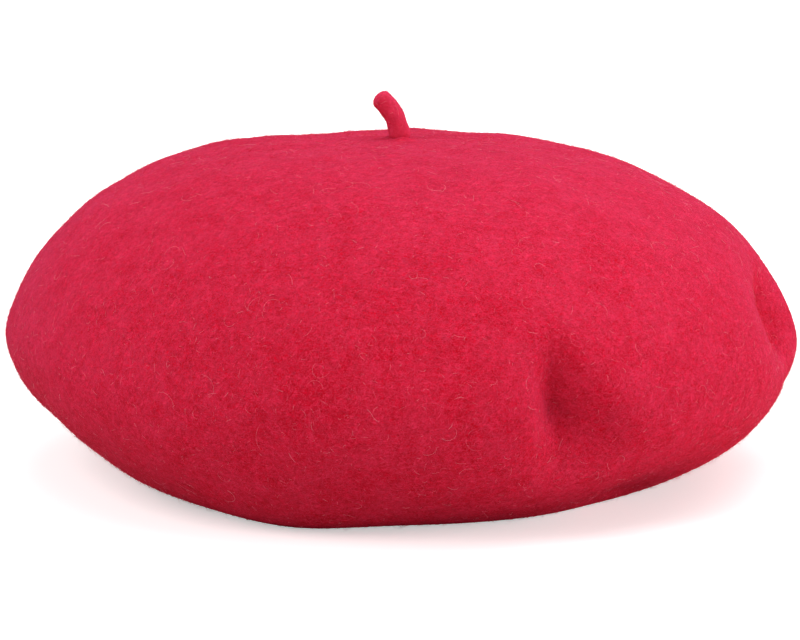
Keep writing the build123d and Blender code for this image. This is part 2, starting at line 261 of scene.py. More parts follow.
def rest_on_plane(z):
    """Keeps the felt above the plane it stands on, easing onto it."""
    ease = 0.5 * MM
    eased = ease * np.log1p(np.exp(np.minimum(z, 4 * ease) / ease))
    settle = ease * math.log(2) * np.exp(-np.abs(z) / ease)
    return np.where(z > 4 * ease, z, eased - settle)


def column_angles(columns):
    """Azimuths of a grid's columns, closer together round the two dents."""
    even = np.linspace(0, 2 * math.pi, 2000)
    degrees = np.degrees(even)
    crowd = 1 + 2.2 * bell(degrees - 24, 9) + 1.2 * bell(degrees - 80, 14)
    travelled = np.concatenate([[0], np.cumsum((crowd[1:] + crowd[:-1]) / 2)])
    return np.interp(np.linspace(0, travelled[-1], columns, endpoint=False), travelled, even)


CROWN_LEAN = 0.014
SLOPE_STEP = 0.5 * MM


def felt_grid(lengths, columns):
    """Points of the felt's outside, one row per length along the section."""
    azimuth = column_angles(columns)[None, :]
    lengths = np.asarray(lengths)[:, None]
    r, z = section_at(lengths)
    before_r, before_z = section_at(lengths - SLOPE_STEP)
    after_r, after_z = section_at(lengths + SLOPE_STEP)
    dr, dz = after_r - before_r, after_z - before_z
    size = np.maximum(np.hypot(dr, dz), 1e-12)
    d = felt_offset(azimuth, lengths)
    r = r + d * (-dz / size)
    z = z + d * (dr / size)
    # the whole beret leans a little to the right
    lean = CROWN_LEAN * (r * np.sin(azimuth)) * smooth_step(z / RIM_HEIGHT)
    return points_at(r, azimuth, rest_on_plane(z - lean))


def section_steps(start, end, step):
    """Evenly spaced lengths along the section."""
    return np.linspace(start, end, max(2, round((end - start) / step) + 1))


# ---- materials


def node(tree, kind, inputs=None, **settings):
    """Adds a shader node, sets its options, and sets or links its inputs."""
    made = tree.nodes.new("ShaderNode" + kind)
    for key, value in settings.items():
        setattr(made, key, value)
    for key, value in (inputs or {}).items():
        if isinstance(value, bpy.types.NodeSocket):
            tree.links.new(value, made.inputs[key])
        else:
            made.inputs[key].default_value = value
    return made


def maths(tree, operation, a, b=0.0):
    """One math node's result."""
    return node(tree, "Math", {0: a, 1: b}, operation=operation).outputs[0]


def times(tree, value, factor):
    """A value multiplied by a factor."""
    return maths(tree, "MULTIPLY", value, factor)


def largest(tree, a, b, c):
    """The largest of three values."""
    return maths(tree, "MAXIMUM", maths(tree, "MAXIMUM", a, b), c)


def mix_colour(tree, share, a, b):
    """Two colours mixed by a share."""
    a, b = ((*colour, 1.0) if isinstance(colour, tuple) else colour for colour in (a, b))
    return node(tree, "Mix", {0: share, 6: a, 7: b}, data_type="RGBA").outputs[2]


def spread_out(tree, value, low, high, to_low=0.0, to_high=1.0):
    """A value mapped from one range to another, clamped and eased."""
    inputs = {0: value, 1: low, 2: high, 3: to_low, 4: to_high}
    return node(tree, "MapRange", inputs, interpolation_type="SMOOTHSTEP").outputs[0]


def place(tree, stretch=(1, 1, 1), turn_deg=(0, 0, 0)):
    """Positions on the object, turned and stretched."""
    here = node(tree, "TexCoord").outputs["Object"]
    turn = [math.radians(a) for a in turn_deg]
    turned = node(tree, "Mapping", {"Vector": here, "Rotation": turn})
    return node(tree, "Mapping", {"Vector": turned.outputs[0], "Scale": stretch}).outputs[0]


def noise(tree, size, stretch=(1, 1, 1), turn_deg=(0, 0, 0), detail=2.0, roughness=0.5, distortion=0.0):
    """Noise whose features have this size in metres."""
    inputs = {"Vector": place(tree, stretch, turn_deg), "Scale": 1 / size, "Detail": detail}
    inputs |= {"Roughness": roughness, "Distortion": distortion}
    return node(tree, "TexNoise", inputs).outputs["Fac"]


def new_material(name):
    """An empty node material, and its tree."""
    material = bpy.data.materials.new(name)
    material.use_nodes = True
    material.node_tree.nodes.clear()
    return material, material.node_tree


def with_surface(material, inputs):
    """The material, with a surface shader that has these inputs."""
    tree = material.node_tree
    surface = node(tree, "BsdfPrincipled", inputs)
    node(tree, "OutputMaterial", {"Surface": surface.outputs[0]})
    return material


def bump(tree, height, distance, strength=1.0):
    """A bump normal from a height of 0 to 1."""
    inputs = {"Height": height, "Distance": distance, "Strength": strength}
    return node(tree, "Bump", inputs).outputs[0]


FELT_DEEP = (0.50, 0.0005, 0.006)
FELT_RED = (0.70, 0.004, 0.027)
FELT_LIGHT = (0.88, 0.055, 0.137)
FIBRE_PALE = (0.95, 0.33, 0.42)


def felt_material(name, painted_sheen):
    """Fulled wool: a tangle of short fibres with small dark pits, and a soft pink sheen."""
    material, tree = new_material(name)
    cloud = noise(tree, 12 * MM, detail=2, distortion=0.8)
    clump = noise(tree, 4.5 * MM, detail=3, distortion=0.6)
    mottle = noise(tree, 1.8 * MM, detail=4, roughness=0.65, distortion=0.5)
    strands = []
    ways = (((10, 25, 40), (1, 0.28, 1)), ((50, 80, 10), (1, 1, 0.28)), ((80, 15, 65), (0.28, 1, 1)))
    for turn, stretch in ways:
        line = noise(tree, 0.9 * MM, stretch, turn, detail=1, distortion=1.4)
        away = maths(tree, "ABSOLUTE", maths(tree, "SUBTRACT", line, 0.5))
        strands.append(spread_out(tree, away, 0.0, 0.05, 1.0, 0.0))
    tangle = largest(tree, *strands)
    pits = spread_out(tree, noise(tree, 0.75 * MM, detail=1, distortion=0.6), 0.28, 0.36, 1.0, 0.0)
    colour = mix_colour(tree, spread_out(tree, mottle, 0.32, 0.68), FELT_DEEP, FELT_RED)
    colour = mix_colour(tree, times(tree, tangle, 0.46), colour, FELT_LIGHT)
    colour = mix_colour(tree, times(tree, pits, 0.8), colour, FELT_DEEP)
    colour = mix_colour(tree, spread_out(tree, clump, 0.35, 0.65, 0.26, 0.0), colour, FELT_DEEP)
    colour = mix_colour(tree, spread_out(tree, cloud, 0.35, 0.65, 0.0, 0.12), colour, FELT_LIGHT)
    # painted sheen: the colour is mixed paler by this share, standing in for sheen that a piece catches too
    # little of
    colour = mix_colour(tree, painted_sheen, colour, FELT_LIGHT)
    facing = node(tree, "NewGeometry").outputs["Normal"]
    facing_up = node(tree, "SeparateXYZ", {0: facing}).outputs["Z"]
    height = maths(tree, "ADD", times(tree, tangle, 0.35), times(tree, mottle, 0.8))
    height = maths(tree, "SUBTRACT", height, times(tree, pits, 0.5))
    return with_surface(material, {
        "Base Color": colour,
        "Roughness": 0.95,
        "Specular IOR Level": 0.05,
        # the sheen fades on faces that turn down: painted shade under the rim, not a change in the wool
        "Sheen Weight": spread_out(tree, facing_up, -0.8, 0.6, 0.02, 0.165),
        "Sheen Roughness": 0.45,
        "Sheen Tint": (1.0, 0.30, 0.90, 1.0),
        "Normal": bump(tree, height, 0.35 * MM, 0.8),
    })


def nap_material():
    """Loose wool fibres: most as red as the felt, a few pale."""
    material, tree = new_material("wool_nap")
    tone = node(tree, "Attribute", attribute_name="tone").outputs["Fac"]
    colour = mix_colour(tree, spread_out(tree, tone, 0.0, 0.7), FELT_RED, FELT_LIGHT)
    colour = mix_colour(tree, spread_out(tree, tone, 0.87, 1.0), colour, FIBRE_PALE)
    wave = noise(tree, 0.4 * MM)
    return with_surface(material, {
        "Base Color": mix_colour(tree, times(tree, wave, 0.3), colour, FELT_DEEP),
        "Roughness": 0.7,
        "Specular IOR Level": 0.2,
        "Normal": bump(tree, wave, 0.02 * MM),
    })


def satin_material():
    """Satin lining: fine slanted floats across the yarns, with a soft shine."""
    material, tree = new_material("satin_lining")
    slant = (0, 0, 38)
    floats = noise(tree, 0.5 * MM, (1, 0.16, 1), slant, detail=1)
    cross = noise(tree, 0.45 * MM, (0.3, 1, 1), slant, detail=1)
    slubs = noise(tree, 9 * MM, (1, 0.1, 1), slant, detail=2)
    colour = mix_colour(tree, spread_out(tree, floats, 0.3, 0.7), (0.16, 0.004, 0.014), (0.30, 0.010, 0.034))
    colour = mix_colour(tree, spread_out(tree, slubs, 0.4, 0.7, 0.0, 0.3), colour, (0.38, 0.02, 0.05))
    height = maths(tree, "ADD", floats, times(tree, cross, 0.5))
    return with_surface(material, {
        "Base Color": colour,
        "Roughness": spread_out(tree, floats, 0.2, 0.8, 0.30, 0.48),
        "Anisotropic": 0.5,
        "Sheen Weight": 0.15,
        "Sheen Tint": (1.0, 0.6, 0.66, 1.0),
        "Normal": bump(tree, height, 0.06 * MM, 0.6),
    })


def leather_material():
    """Sweatband leather: pebbled grain, pores, and a lighter rub along the raised places."""
    material, tree = new_material("sweatband_leather")
    cell_size = 1.1 * MM
    inputs = {"Vector": place(tree), "Scale": 1 / cell_size, "Randomness": 0.9}
    cells = node(tree, "TexVoronoi", inputs, feature="DISTANCE_TO_EDGE")
    grain = spread_out(tree, cells.outputs["Distance"], 0.0, 0.28)
    pores = spread_out(tree, noise(tree, 0.45 * MM, detail=1), 0.26, 0.38, 1.0, 0.0)
    cloud = spread_out(tree, noise(tree, 18 * MM, detail=3), 0.3, 0.7)
    colour = mix_colour(tree, cloud, (0.020, 0.012, 0.010), (0.052, 0.030, 0.022))
    colour = mix_colour(tree, times(tree, grain, 0.35), colour, (0.085, 0.052, 0.038))
    height = maths(tree, "SUBTRACT", grain, times(tree, pores, 0.4))
    return with_surface(material, {
        "Base Color": colour,
        "Roughness": spread_out(tree, grain, 0.0, 1.0, 0.62, 0.40),
        "Specular IOR Level": 0.45,
        "Normal": bump(tree, height, 0.12 * MM, 0.7),
    })


def thread_material(name, dark, light):
    """Twisted thread or cord: fine slanted ply lines."""
    material, tree = new_material(name)
    ply = noise(tree, 0.35 * MM, (1, 0.35, 1), (35, 20, 50), detail=2, distortion=0.6)
    fuzz = noise(tree, 1.4 * MM, detail=3)
    colour = mix_colour(tree, spread_out(tree, ply, 0.3, 0.7), dark, light)
    return with_surface(material, {
        "Base Color": mix_colour(tree, times(tree, fuzz, 0.3), colour, dark),
        "Roughness": 0.72,
        "Sheen Weight": 0.2,
        "Normal": bump(tree, ply, 0.08 * MM, 0.7),
    })


def tape_material():
    """Woven label tape: fine warp and weft ribs."""
    material, tree = new_material("label_tape")
    ways = ((0.1, 1, 1), (1, 0.1, 1), (1, 1, 0.1))
    threads = [noise(tree, 0.42 * MM, stretch, detail=1) for stretch in ways]
    soil = noise(tree, 9 * MM, detail=3)
    weave = largest(tree, *threads)
    colour = mix_colour(tree, spread_out(tree, weave, 0.48, 0.72), (0.42, 0.38, 0.32), (0.70, 0.67, 0.60))
    colour = mix_colour(tree, spread_out(tree, soil, 0.4, 0.8, 0.0, 0.15), colour, (0.50, 0.43, 0.35))
    return with_surface(material, {
        "Base Color": colour,
        "Roughness": 0.78,
        "Sheen Weight": 0.15,
        "Normal": bump(tree, weave, 0.09 * MM, 0.8),
    })


WOOL = felt_material("wool_felt", 0.0)
# the stalk's felt is mixed paler: a painted sheen for its steep sides, which catch little of the real sheen
STALK_WOOL_PAINTED_SHEEN = felt_material("wool_stalk_painted_sheen", 0.45)
NAP = nap_material()
SATIN = satin_material()
LEATHER = leather_material()
CORD = thread_material("braided_cord", (0.012, 0.010, 0.011), (0.055, 0.045, 0.045))
DARK_THREAD = thread_material("dark_thread", (0.035, 0.012, 0.014), (0.11, 0.05, 0.05))
RED_THREAD = thread_material("red_thread", (0.26, 0.006, 0.022), (0.56, 0.03, 0.07))
TAPE = tape_material()


# ---- felt body

COLUMNS = 400
SEAT_RADIUS = 2.8 * MM
SEAT_DEPTH = 1.25 * MM
COLLAR_RADIUS = 3.6 * MM
COLLAR_HEIGHT = 1.0 * MM
FINE_REACH = 9 * MM


def stalk_seat(grid, lengths):
    """Sinks the felt under the stalk's root and raises a low uneven collar round it."""
    azimuth = column_angles(grid.shape[1])[None, :]
    away = np.asarray(lengths)[:, None]
    sunk = -SEAT_DEPTH * np.sqrt(np.clip(1 - (away / SEAT_RADIUS) ** 2, 0, 1))
    unevenness = 1 + 0.35 * np.sin(3 * azimuth + 0.6)
    grid[:, :, 2] += sunk + COLLAR_HEIGHT * bell(away - COLLAR_RADIUS, 2.4 * MM) * unevenness
    return grid


def closed_shell(name, outer, inner, material, edge_steps=5):
    """A sheet with thickness: a pole at the first row, and a rounded edge after the last."""
    columns = outer.shape[1]
    middle = (outer[-1] + inner[-1]) / 2
    half = (outer[-1] - inner[-1]) / 2
    thick = np.linalg.norm(half, axis=1, keepdims=True)
    onward = outer[-1] - outer[-2]
    onward -= half * (onward * half).sum(axis=1, keepdims=True) / thick**2
    onward /= np.linalg.norm(onward, axis=1, keepdims=True)
    turns = np.linspace(0, math.pi, edge_steps + 2)[1:-1]
    edge = [middle + half * math.cos(a) + onward * thick * math.sin(a) for a in turns]
    rings = np.concatenate([outer[1:], np.array(edge), inner[:0:-1]])
    points = rings.reshape(-1, 3)
    faces = grid_faces(len(rings), columns)
    top, bottom = len(points), len(points) + 1
    points = np.concatenate([points, [outer[0].mean(axis=0)], [inner[0].mean(axis=0)]])
    last = (len(rings) - 1) * columns
    for c in range(columns):
        beside = (c + 1) % columns
        faces.append((top, c, beside))
        faces.append((bottom, last + beside, last + c))
    return new_object(name, points, faces, material)


def felt_body():
    """The seamless felt, as one closed sheet of its real thickness. Gives its outside grid and normals."""
    near_seat = section_steps(0, FINE_REACH, 0.75 * MM)
    lengths = np.concatenate([near_seat, section_steps(FINE_REACH, SECTION_END, 1.45 * MM)[1:]])
    outer = stalk_seat(felt_grid(lengths, COLUMNS), lengths)
    normal = crown_normals(outer)
    every_other = np.append(np.arange(0, len(lengths) - 1, 2), len(lengths) - 1)
    inner = (outer - normal * FELT_THICKNESS)[every_other]
    soft(closed_shell("felt_body_soft", outer, inner, WOOL), "felt_body")
    return outer, normal


felt_outer, felt_normal = felt_body()


# ---- nap: loose wool fibres that lie on the felt


def fibre_mesh(name, root, way, aside, up, spec):
    """Curved three-sided fibres that taper to a point, each closed.

    Root, way, aside and up are one vector per fibre. Spec has its length, turn, lift, radius and tone, and
    the stations along it.
    """
    length, turn, lift, radius = (spec[key][:, None] for key in ("length", "turn", "lift", "radius"))
    points = []
    for share in (*spec["stations"], 1.0):
        run = np.sin(turn * share) / turn
        drift = (1 - np.cos(turn * share)) / turn
        rise = lift * share * (1 - 0.5 * share)
        centre = root + (way * run + aside * drift + up * rise) * length
        if share == 1.0:
            points.append(centre)
            continue
        girth = radius * (1 - 0.5 * share)
        heading = way * np.cos(turn * share) + aside * np.sin(turn * share)
        flank = np.cross(up, heading)
        for k in range(3):
            corner = 2 * math.pi * k / 3
            points.append(centre + (flank * math.cos(corner) + up * math.sin(corner)) * girth)
    each = len(points)
    tip = each - 1
    pattern = [(2, 1, 0)]
    for ring in range(0, tip, 3):
        for k in range(3):
            a, b = ring + k, ring + (k + 1) % 3
            if ring + 3 < tip:
                pattern += [(a, b, b + 3), (a, b + 3, a + 3)]
            else:
                pattern.append((a, b, tip))
    faces = (np.array(pattern)[None] + each * np.arange(len(root))[:, None, None]).reshape(-1, 3)
    points = np.stack(points, axis=1).reshape(-1, 3)
    points[:, 2] = np.maximum(points[:, 2], 0)
    mesh = bpy.data.meshes.new(name)
    mesh.vertices.add(len(points))
    mesh.vertices.foreach_set("co", points.astype(np.float32).ravel())
    mesh.loops.add(faces.size)
    mesh.loops.foreach_set("vertex_index", faces.astype(np.int32).ravel())
    mesh.polygons.add(len(faces))
    mesh.polygons.foreach_set("loop_start", np.arange(0, faces.size, 3, dtype=np.int32))
    mesh.update(calc_edges=True)
    mesh.polygons.foreach_set("use_smooth", [True] * len(mesh.polygons))
    layer = mesh.attributes.new("tone", "FLOAT", "POINT")
    layer.data.foreach_set("value", np.repeat(spec["tone"], each).astype(np.float32))
    mesh.materials.append(NAP)
    return shown(name, mesh)


def short_fibres(count):
    """Most of the nap: short curved fibres that lie close to the felt."""
    return {
        "tone": rng.random(count),
        "length": MM * np.clip(rng.lognormal(0.55, 0.45, count), 0.7, 4.5),
        "turn": rng.normal(0, 1.2, count) + 0.01,
        "lift": np.abs(rng.normal(0.12, 0.40, count)),
        "radius": MM * (0.030 + 0.024 * rng.random(count)),
        "stations": (0.0, 0.35, 0.7),
    }


def stray_fibres(count):
    """A few long pale fibres that curl over the nap."""
    return {
        "length": MM * rng.uniform(5, 11, count),
        "turn": rng.choice([-1, 1], count) * rng.uniform(1.0, 4.5, count),
        "lift": rng.uniform(0.02, 0.07, count),
        "radius": MM * rng.uniform(0.036, 0.052, count),
        "tone": rng.uniform(0.90, 1.0, count),
        "stations": (0.0, 0.12, 0.25, 0.38, 0.5, 0.62, 0.75, 0.88),
    }


def nap_on_grid(name, grid, normal, first, last, spec):
    """Scatters fibres over rows of a grid, evenly by area."""
    count = len(spec["length"])
    rows, columns = last - first, grid.shape[1]
    here = grid[first:last]
    next_row = grid[first + 1 : last + 1]
    area = np.linalg.norm(np.cross(next_row - here, np.roll(here, -1, axis=1) - here), axis=2).ravel()
    cell = rng.choice(rows * columns, size=count, p=area / area.sum())
    row, column = first + cell // columns, cell % columns
    beside = (column + 1) % columns
    u, v = rng.random((2, count, 1))
    root = (grid[row, column] * (1 - u) * (1 - v) + grid[row + 1, column] * u * (1 - v)
            + grid[row, beside] * (1 - u) * v + grid[row + 1, beside] * u * v)
    up = normal[row, column]
    spin = rng.random((count, 1)) * 2 * math.pi
    # the spin is random, so any fixed direction does to start from
    side = np.cross(up, np.array([0.3, 0.5, 0.81]))
    side /= np.linalg.norm(side, axis=1, keepdims=True)
    across = np.cross(up, side)
    way = side * np.cos(spin) + across * np.sin(spin)
    return fibre_mesh(name, root - up * 0.05 * MM, way, np.cross(up, way), up, spec)


NAP_COUNT = 24000
STRAY_COUNT = 320
RIM_BAND = 18
rim_row = int(np.argmax(np.linalg.norm(felt_outer[:, 0, :2], axis=1)))

# The first and last rows of the felt's grid that each piece of the nap covers, and its number of fibres.
nap_rows = {
    "felt_nap_crown": (6, rim_row - RIM_BAND, NAP_COUNT),
    "felt_nap_rim": (rim_row - RIM_BAND, rim_row + RIM_BAND, NAP_COUNT),
    "felt_nap_underside": (rim_row + RIM_BAND, len(felt_outer) - 4, NAP_COUNT // 2),
}
for name, (first, last, count) in nap_rows.items():
    soft(nap_on_grid(name, felt_outer, felt_normal, first, last, short_fibres(count)))
strays = stray_fibres(STRAY_COUNT)
soft(nap_on_grid("felt_strays", felt_outer, felt_normal, 12, rim_row + 30, strays))


# ---- tubes: the stalk, the cord and its bow


def smooth_path(points, count):
    """A smooth curve through a few points, resampled evenly."""
    points = np.array(points, float)
    n = len(points)
    t = np.linspace(0, n - 1, 40 * n)
    i = np.clip(t.astype(int), 0, n - 2)
    f = (t - i)[:, None]
    before, after = points[np.maximum(i - 1, 0)], points[np.minimum(i + 2, n - 1)]
    a, b = points[i], points[i + 1]
    curve = 0.5 * (2 * a + (b - before) * f + (2 * before - 5 * a + 4 * b - after) * f**2
                   + (3 * a - before - 3 * b + after) * f**3)
    travelled = np.concatenate([[0], np.cumsum(np.linalg.norm(np.diff(curve, axis=0), axis=1))])
    even = np.linspace(0, travelled[-1], count)
    return np.stack([np.interp(even, travelled, curve[:, k]) for k in range(3)], axis=1)


def path_frames(path, reference):
    """Two directions across a path at each point, turned as little as possible along it."""
    tangent = np.gradient(path, axis=0)
    tangent /= np.linalg.norm(tangent, axis=1, keepdims=True)
    first = np.zeros_like(path)
    start = np.array(reference, float)
    for i, t in enumerate(tangent):
        start = start - t * start.dot(t)
        start /= np.linalg.norm(start)
        first[i] = start
    return first, np.cross(tangent, first)


def tube(name, path, radius, material, sides=16, reference=(0, 1, 0), closed=False):
    """A tube along a path. The radius is a function of the share along it and the angle round it."""
    first, second = path_frames(path, reference)
    count = len(path)
    share = np.linspace(0, 1, count)[:, None]
    angle = np.linspace(0, 2 * math.pi, sides, endpoint=False)[None, :]
    reach = np.broadcast_to(radius(share, angle), (count, sides))[:, :, None]
    out = first[:, None] * np.cos(angle)[..., None] + second[:, None] * np.sin(angle)[..., None]
    points = (path[:, None] + out * reach).reshape(-1, 3)
    faces = grid_faces(count, sides, wrap_rows=closed, flip=True)
    if not closed:
        points = np.concatenate([points, path[:1], path[-1:]])
        start, end, last = count * sides, count * sides + 1, (count - 1) * sides
        for k in range(sides):
            n = (k + 1) % sides
            faces += [(start, n, k), (end, last + k, last + n)]
    return new_object(name, points, faces, material)


def round_cap(share, cap):
    """Radius of a round cap at a share of the tube's length, as a share of the full radius."""
    return np.sqrt(np.clip(1 - np.clip(1 - share / cap, 0, 1) ** 2, 0, 1))


def round_ends(share, at_start, at_end):
    """Shrinks a tube's radius to close its ends with round caps. The caps are shares of its length."""
    return round_cap(share, at_start) * round_cap(1 - share, at_end)


ROPE_STRANDS = 3
ROPE_GROOVE = 0.14


def rope(share, angle, radius, turns):
    """Radius of a rope with twisted strands."""
    lay = ROPE_STRANDS / 2 * (angle + 2 * math.pi * turns * share)
    return radius * (1 - ROPE_GROOVE + ROPE_GROOVE * np.abs(np.cos(lay)) * 2)


# ---- stalk: a rolled felt cord that leans to the left, thinner towards its tip

STALK_ROOT = (0, 0, joints["stalk_nod"]["pos_m"][2])
STALK_RADIUS = (stalk_high[1] - stalk_low[1]) / 2
STALK_STATIONS = 90
STALK_SIDES = 56
ROOT_STATIONS = 23
STALK_FIBRES = 420


def stalk_path():
    """The stalk's middle line, from the bottom of its root to its tip."""
    lean = [(0, 0, -3.5), (0, 0, -1.2), (-0.4, 0, 1.4), (-1.3, 0, 4.3),
            (-2.8, 0, 7.3), (-5.8, 0.1, 11.2), (-8.0, 0.2, 13.9)]
    return smooth_path(np.array(lean) * MM + STALK_ROOT, STALK_STATIONS)


def stalk_radius(share, angle):
    """Fuller at the root, with a rolled crease, small lumps and a rounded tip."""
    taper = STALK_RADIUS * (1.04 - 0.05 * share)
    neck = 1 + 0.05 * bell(share - 0.2, 0.1)
    crease = 0.085 * bell(wrapped(angle - 4.0 - 2.2 * share), 0.30)
    lumps = 0.022 * np.sin(3 * angle + 11 * share) + 0.02 * np.sin(5 * angle - 23 * share + 1.0)
    fine = 0.012 * np.sin(11 * angle + 40 * share) * np.sin(37 * share + 2 * angle)
    return taper * neck * (1 - crease + lumps + fine) * round_ends(share, 0.16, 0.145)


def felt_stalk():
    """The stalk and its own loose fibres, which start above the part of its root inside the felt."""
    piece = tube("stalk_soft", stalk_path(), stalk_radius, STALK_WOOL_PAINTED_SHEEN, sides=STALK_SIDES)
    soft(piece, "stalk", body="stalk_body", flattens=False)
    wall = np.array([v.co for v in piece.data.vertices])[: STALK_STATIONS * STALK_SIDES]
    wall = wall.reshape(STALK_STATIONS, STALK_SIDES, 3)
    # the wall's rows run along the stalk, so its grid normals point in
    normal = -grid_normals(wall)
    fibres = short_fibres(STALK_FIBRES)
    nap = nap_on_grid("stalk_nap", wall, normal, ROOT_STATIONS, STALK_STATIONS - 2, fibres)
    soft(nap, body="stalk_body", flattens=False)


def dress_node(node_name, material):
    """Gives a CAD node that is shown as it is its material."""
    materials = frame["nodes"][node_name].data.materials
    materials.clear()
    materials.append(material)


felt_stalk()
dress_node("stalk_knot", RED_THREAD)


# ---- lining: a round tip and a gathered side, inside the felt

LINING_INSET = 4.1 * MM
SATIN_THICKNESS = 0.4 * MM
TIP_RADIUS = tip_high[0]
LINING_COLUMNS = 360
LINING_STEP = 2.2 * MM
SEAM_LIP = 2.2 * MM
LIP_DEPTH = 1.6 * MM


# Length along the section of the seam between the lining's two pieces.
TIP_LENGTH = float(np.interp(TIP_RADIUS + 0.6 * LINING_INSET, section_r[:SECTION_POINTS],
                             section_length[:SECTION_POINTS]))


def closed_band(name, outer, inner, material):
    """A ring-shaped sheet with thickness."""
    rings = np.concatenate([outer, inner[::-1]])
    faces = grid_faces(len(rings), outer.shape[1], wrap_rows=True)
    return new_object(name, rings.reshape(-1, 3), faces, material)


def lining_faces(lengths, sag, find_normals):
    """Both faces of the lining and its normals. Sag is how far it hangs in from its place."""
    felt = felt_grid(lengths, LINING_COLUMNS)
    normal = find_normals(felt)
    outer = felt - normal * (LINING_INSET + sag)[..., None]
    return outer, outer - normal * SATIN_THICKNESS, normal


def folds(away, fade, azimuth, count, sway, swings, shift=0):
    """Folds along a seam that fade as they run away from it, and sway to both sides."""
    lines = np.sin(count * azimuth + sway * np.sin(swings * azimuth) + shift)
    return np.exp(-away / (fade * MM)) * (0.5 + 0.5 * lines)


def lining_tip():
    """The round top piece, wrinkled softly in from its seam. Gives its lower face and normals."""
    lengths = section_steps(0, TIP_LENGTH, LINING_STEP)
    azimuth = column_angles(LINING_COLUMNS)[None, :]
    from_seam = (TIP_LENGTH - lengths)[:, None]
    wrinkle = folds(from_seam, 26, azimuth, 31, 2.5, 3)
    lip = smooth_step(1 - from_seam / SEAM_LIP)
    tack_room = 1.3 * MM * bell(lengths, 12 * MM)[:, None]
    sag = 0.9 * MM * wrinkle + LIP_DEPTH * lip + tack_room
    outer, inner, normal = lining_faces(lengths, sag, crown_normals)
    soft(closed_shell("lining_tip_satin", outer, inner, SATIN, edge_steps=2), "lining_tip")
    return inner, normal


def lining_side():
    """The side piece, eased into the tip's seam and gathered at the band. Gives its inside and normals."""
    start = TIP_LENGTH + 0.5 * MM
    lengths = section_steps(start, SECTION_END - 0.4 * MM, LINING_STEP)
    azimuth = column_angles(LINING_COLUMNS)[None, :]
    from_tip = (lengths - start)[:, None]
    from_band = (SECTION_END - lengths)[:, None]
    gathers = folds(from_band, 24, azimuth, 40, 3, 5)
    ease = folds(from_tip, 18, azimuth, 36, 2, 4, shift=1)
    lip = smooth_step(1 - from_tip / SEAM_LIP)
    sag = 1.1 * MM * gathers + 0.7 * MM * ease + LIP_DEPTH * lip
    outer, inner, normal = lining_faces(lengths, sag, grid_normals)
    soft(closed_band("lining_side_satin", outer, inner, SATIN), "lining_side")
    return inner, normal


# ---- thread

THREAD_SIDES = 6
# Stations along a stitch: shares of its length and of its radius.
THREAD_STATIONS = ((-0.5, 0.35), (-0.42, 0.9), (0.0, 1.0), (0.42, 0.9), (0.5, 0.35))
TACK_THREAD = 0.3 * MM
TACK_TURNS = 6
SEAM_THREAD = 0.3 * MM
SEAM_ROW = -3


def stitches(name, centres, along, across, length, radius, material):
    """Short rounded threads. Along is each one's direction, and across a direction square to it."""
    centres, along, across = (np.asarray(a, float) for a in (centres, along, across))
    other = np.cross(along, across)
    points = []
    for share, girth in THREAD_STATIONS:
        for k in range(THREAD_SIDES):
            a = 2 * math.pi * k / THREAD_SIDES
            out = across * math.cos(a) + other * math.sin(a)
            points.append(centres + along * length * share + out * radius * girth)
    size = len(points)
    points = np.stack(points, axis=1).reshape(-1, 3)
    one = grid_faces(len(THREAD_STATIONS), THREAD_SIDES, flip=True)
    one += [tuple(range(THREAD_SIDES))[::-1], tuple(range(size - THREAD_SIDES, size))]
    faces = [tuple(v + size * n for v in face) for n in range(len(centres)) for face in one]
    return new_object(name, points, faces, material)


def tack_stitches():
    """The star of stitches that holds the stalk's root under the felt."""
    low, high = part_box("stalk_tack")
    felt_under = felt_outer[0, 0, 2] - FELT_THICKNESS
    turns = np.linspace(0, math.pi, TACK_TURNS, endpoint=False)
    along = [(math.cos(a), math.sin(a), 0) for a in turns]
    down = [(0, 0, -1)] * TACK_TURNS
    centres = [(0, 0, felt_under - TACK_THREAD * (1.1 + 0.25 * k)) for k in range(TACK_TURNS)]
    length = 0.95 * (high[0] - low[0])
    piece = stitches("stalk_tack_thread", centres, along, down, length, TACK_THREAD, RED_THREAD)
    soft(piece, "stalk_tack")


def ring_stitches(name, node_name, surface, normal, count, length):
    """A running row of stitches near the last row of a lining surface, on its inner face."""
    columns = surface.shape[1]
    row = surface[SEAM_ROW]
    at = np.interp(np.linspace(0.01, 2 * math.pi - 0.01, count), column_angles(columns), np.arange(columns))
    left = at.astype(int)
    mix = (at - left)[:, None]
    right = (left + 1) % columns
    centres = row[left] * (1 - mix) + row[right] * mix
    up = normal[SEAM_ROW, left]
    along = row[right] - row[left]
    along /= np.linalg.norm(along, axis=1, keepdims=True)
    piece = stitches(name, centres - up * 0.12 * MM, along, up, length, SEAM_THREAD, DARK_THREAD)
    soft(piece, node_name)


tack_stitches()
tip_surface, tip_normal = lining_tip()
side_surface, side_normal = lining_side()
ring_stitches("tip_seam_thread", "tip_seam_stitches", tip_surface, tip_normal, 150, 3.2 * MM)
ring_stitches("lining_edge_thread", "lining_stitches", side_surface, side_normal, 130, 3.0 * MM)


# ---- sweatband: leather with its top edge folded over the cord

LEATHER_THICKNESS = 1.2 * MM
FOLD_RADIUS = (band_high[0] - OPENING) / 2
FOLD_CENTRE = OPENING + FOLD_RADIUS
FOLD_HEIGHT = BAND_TOP - FOLD_RADIUS
FOLD_BOTTOM = FOLD_HEIGHT - 4.4 * MM
NOTCH_DEG = math.degrees(6 * MM / FOLD_CENTRE)
JOIN_DEG = math.degrees(0.25 * MM / OPENING)
BAND_WAVE = 0.18 * MM
EDGE_ROUND = 0.3 * MM


def fold_arc(radius, start, end, steps):
    """Points round the fold's centre in the section."""
    angles = np.radians(np.linspace(start, end, steps))
    return [(FOLD_CENTRE + radius * math.cos(a), FOLD_HEIGHT + radius * math.sin(a)) for a in angles]


